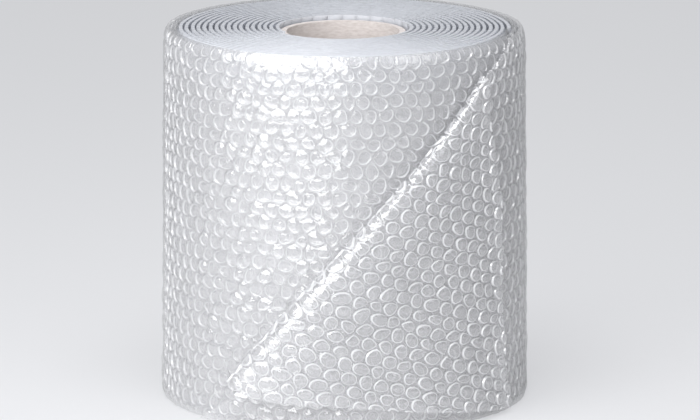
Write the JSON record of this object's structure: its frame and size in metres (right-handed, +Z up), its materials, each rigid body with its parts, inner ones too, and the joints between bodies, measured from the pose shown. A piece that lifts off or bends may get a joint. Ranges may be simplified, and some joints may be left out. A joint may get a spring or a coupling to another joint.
{
  "type": "bubble wrap roll",
  "caption": "Short roll of clear bubble film on a cardboard core, standing on its end, with the loose end's corner turned over to the front.",
  "frame": {"origin": "centre of the core's bore at the roll's lower end, on the floor", "axes": "+Z up along the roll's axis, -Y towards the front where the loose end is turned over, +X to the right"},
  "size_m": [0.2443, 0.2621, 0.25],
  "materials": {
    "film": "clear gloss, cloudy where turns lie over one another",
    "cardboard": "plain matt card"
  },
  "bodies": {
    "root": {"bubble_film": "film", "cardboard_core": "cardboard"}
  },
  "joints": []
}
